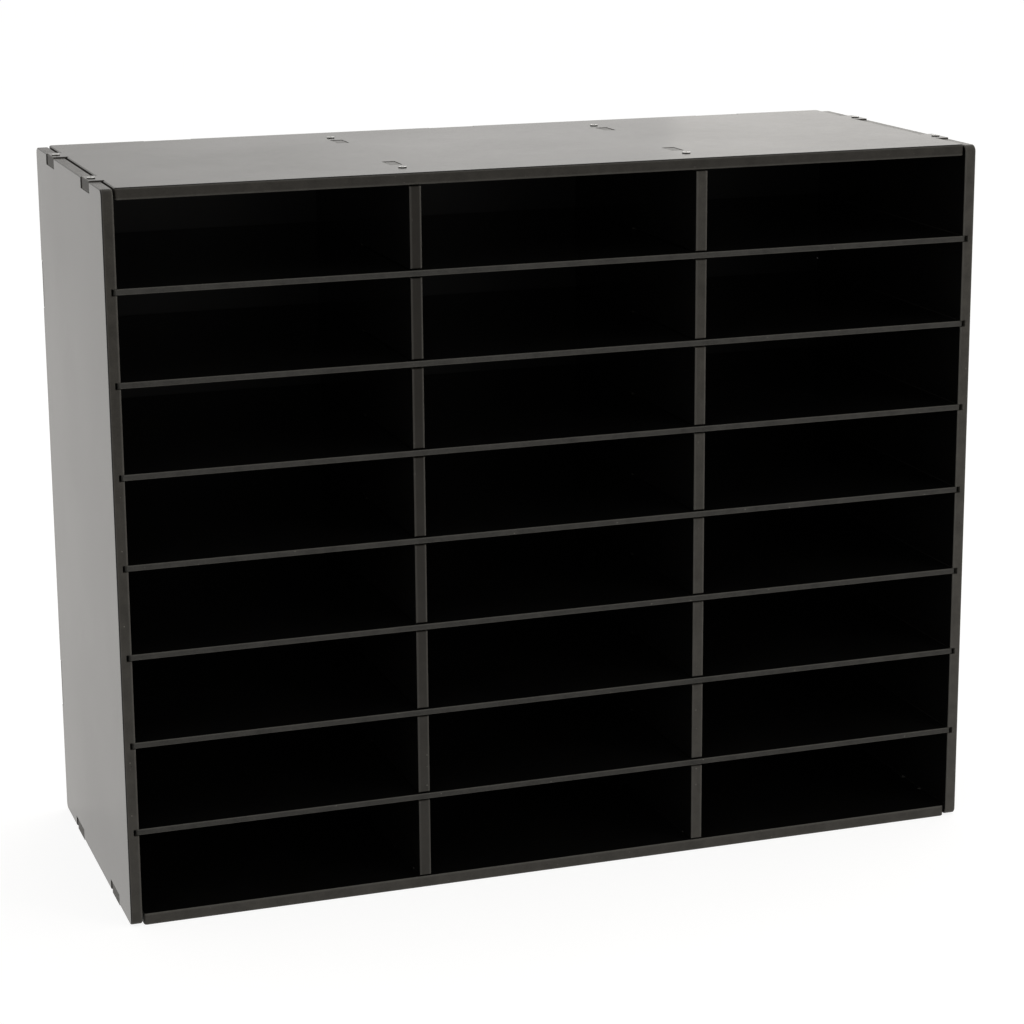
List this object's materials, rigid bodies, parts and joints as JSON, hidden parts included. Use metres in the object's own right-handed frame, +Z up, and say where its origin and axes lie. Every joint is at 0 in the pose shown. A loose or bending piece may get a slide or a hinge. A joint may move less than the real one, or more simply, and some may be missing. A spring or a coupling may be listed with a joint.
{
  "type": "pigeonhole mail sorter",
  "caption": "Black tab-and-slot mail sorter: a screwed carcass with upright dividers and full-width shelves that slide in from the front to form letter-size pigeonholes.",
  "frame": {"origin": "on the surface the sorter stands on, under the middle of its outer box", "axes": "+X to the right across the columns, -Y out of the open front, +Z up"},
  "size_m": [0.74, 0.29, 0.5974],
  "materials": {
    "board_black": "black fibreboard with a satin film face and plain routed edges",
    "shelf_black": "thin black fibreboard with a satin film face and plain routed edges",
    "screw_zinc": "bright zinc plate"
  },
  "bodies": {
    "carcass": {"side_panel_left": "board_black", "side_panel_right": "board_black", "top_panel": "board_black", "bottom_panel": "board_black", "divider_1": "board_black", "divider_2": "board_black", "back_panel": "board_black", "top_side_screws_left": "screw_zinc", "top_side_screws_right": "screw_zinc", "bottom_side_screws_left": "screw_zinc", "bottom_side_screws_right": "screw_zinc", "top_divider_screws_1": "screw_zinc", "top_divider_screws_2": "screw_zinc", "bottom_divider_screws_1": "screw_zinc", "bottom_divider_screws_2": "screw_zinc", "back_screws_1": "screw_zinc", "back_screws_2": "screw_zinc"},
    "shelf_1": {"shelf_1": "shelf_black"},
    "shelf_2": {"shelf_2": "shelf_black"},
    "shelf_3": {"shelf_3": "shelf_black"},
    "shelf_4": {"shelf_4": "shelf_black"},
    "shelf_5": {"shelf_5": "shelf_black"},
    "shelf_6": {"shelf_6": "shelf_black"},
    "shelf_7": {"shelf_7": "shelf_black"}
  },
  "joints": [
    {"name": "shelf_1_slide", "type": "slide", "parent": "carcass", "child": "shelf_1", "axis": [0, -1, 0], "range_m": [0, 0.3]},
    {"name": "shelf_2_slide", "type": "slide", "parent": "carcass", "child": "shelf_2", "axis": [0, -1, 0], "range_m": [0, 0.3]},
    {"name": "shelf_3_slide", "type": "slide", "parent": "carcass", "child": "shelf_3", "axis": [0, -1, 0], "range_m": [0, 0.3]},
    {"name": "shelf_4_slide", "type": "slide", "parent": "carcass", "child": "shelf_4", "axis": [0, -1, 0], "range_m": [0, 0.3]},
    {"name": "shelf_5_slide", "type": "slide", "parent": "carcass", "child": "shelf_5", "axis": [0, -1, 0], "range_m": [0, 0.3]},
    {"name": "shelf_6_slide", "type": "slide", "parent": "carcass", "child": "shelf_6", "axis": [0, -1, 0], "range_m": [0, 0.3]},
    {"name": "shelf_7_slide", "type": "slide", "parent": "carcass", "child": "shelf_7", "axis": [0, -1, 0], "range_m": [0, 0.3]}
  ]
}
